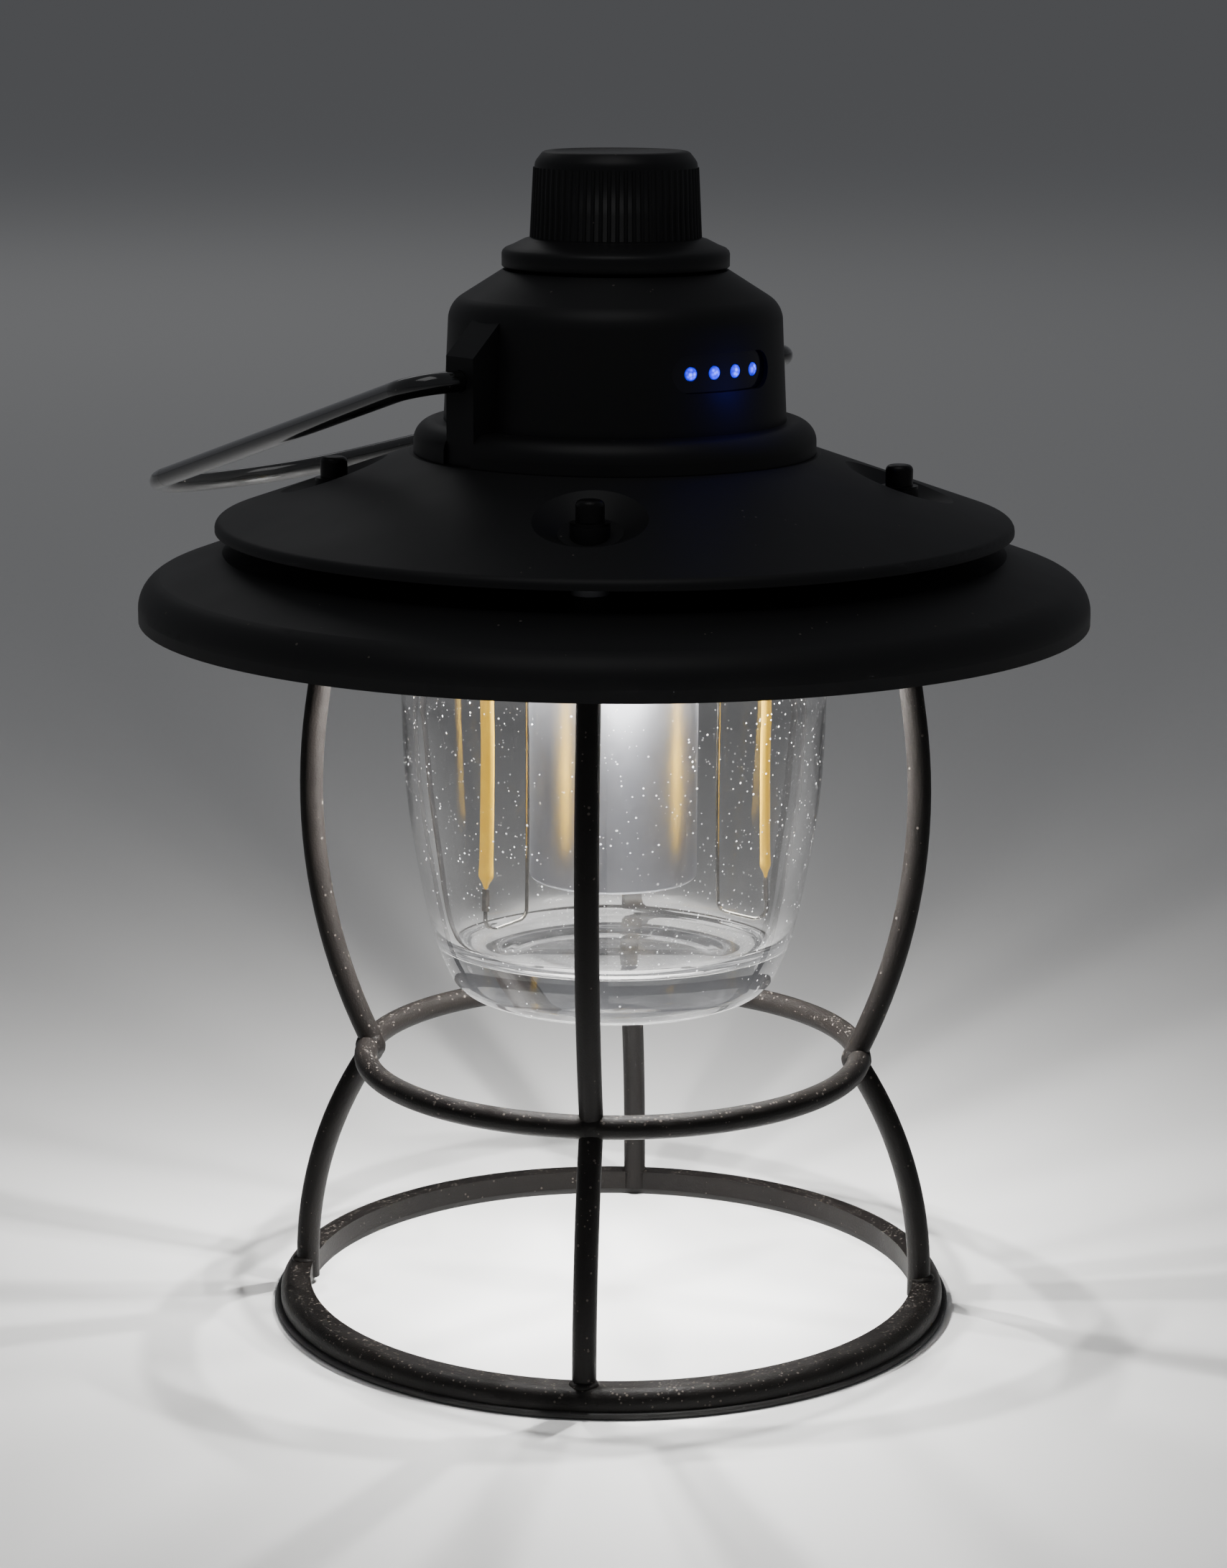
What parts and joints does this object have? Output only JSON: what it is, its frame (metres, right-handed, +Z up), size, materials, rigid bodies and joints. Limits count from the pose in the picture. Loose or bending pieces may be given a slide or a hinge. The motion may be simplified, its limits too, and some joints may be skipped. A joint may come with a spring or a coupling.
{
  "type": "camping lantern",
  "caption": "Rechargeable camping lantern: wire stand, stacked round shades, clear globe with light filaments around a battery tube, dimmer knob and a folding wire bail.",
  "frame": {"origin": "centre of the foot gasket's flat underside, on the lantern's axis", "axes": "+Z up along the lantern, -Y the front with the battery indicator, X along the pivot of the bail"},
  "size_m": [0.136, 0.172, 0.169],
  "materials": {
    "gasket_rubber": "matt",
    "stand_steel": "satin powder coat",
    "shade_lacquer": "matt powder coat",
    "ring_lacquer": "matt powder coat",
    "housing_lacquer": "matt powder coat",
    "spacer_aluminium": "turned",
    "black_fastener": "black oxide",
    "clear_globe": "clear, polished",
    "clear_silicone": "translucent",
    "plate_aluminium": "pressed",
    "white_reflector": "white",
    "plated_screw": "zinc plated",
    "filament_glow": "yellow phosphor, lit",
    "nickel_lead": "nickel wire",
    "ivory_holder": "moulded",
    "satin_tube": "satin",
    "paper_sleeve": "insulating paper",
    "cell_wrap": "shrink wrap",
    "gold_contact": "plated",
    "green_board": "solder mask",
    "port_shell": "stamped shell",
    "blue_light": "lit lens",
    "smoked_bezel": "smoked",
    "dimmer_metal": "die cast",
    "knob_plastic": "fine texture",
    "bail_steel": "gloss black",
    "cover_rubber": "matt"
  },
  "bodies": {
    "lantern": {"foot_gasket": "gasket_rubber", "base_ring": "stand_steel", "middle_ring": "stand_steel", "leg_front_left": "stand_steel", "leg_front_right": "stand_steel", "leg_back_left": "stand_steel", "leg_back_right": "stand_steel", "lower_shade": "shade_lacquer", "upper_shade": "shade_lacquer", "shade_spacers": "spacer_aluminium", "leg_collars": "spacer_aluminium", "nut_washers": "black_fastener", "cap_nuts": "black_fastener", "globe": "clear_globe", "globe_gasket": "clear_silicone", "globe_ring": "ring_lacquer", "lamp_plate": "plate_aluminium", "reflector": "white_reflector", "lamp_screws": "plated_screw", "lamp_nuts": "plated_screw", "filaments": "filament_glow", "filament_tabs": "nickel_lead", "filament_wires": "nickel_lead", "filament_holders": "ivory_holder", "battery_tube": "satin_tube", "tube_collar": "spacer_aluminium", "tube_cap": "satin_tube", "battery_sleeve": "paper_sleeve", "battery_cell": "cell_wrap", "contact_spring": "nickel_lead", "contact_plate": "gold_contact", "top_housing": "housing_lacquer", "housing_screws": "plated_screw", "main_board": "green_board", "board_screws": "plated_screw", "charge_port": "port_shell", "cover_pin": "plated_screw", "indicator_board": "green_board", "indicator_lights": "blue_light", "indicator_bezel": "smoked_bezel", "dimmer_body": "dimmer_metal", "dimmer_washer": "plated_screw", "dimmer_nut": "plated_screw"},
    "knob": {"dimmer_shaft": "dimmer_metal", "dimmer_knob": "knob_plastic"},
    "bail": {"bail": "bail_steel"},
    "port_cover": {"port_cover": "cover_rubber"}
  },
  "joints": [
    {"name": "dimmer_turn", "type": "hinge", "parent": "lantern", "child": "knob", "pos_m": [0, 0, 0.16], "axis": [0, 0, 1], "range_deg": [-150, 150]},
    {"name": "bail_swing", "type": "hinge", "parent": "lantern", "child": "bail", "pos_m": [0, 0, 0.1385], "axis": [1, 0, 0], "range_deg": [-2, 211.4]},
    {"name": "port_cover_hinge", "type": "hinge", "parent": "lantern", "child": "port_cover", "pos_m": [0, 0.02585, 0.134], "axis": [-1, 0, 0], "range_deg": [0, 105]}
  ]
}
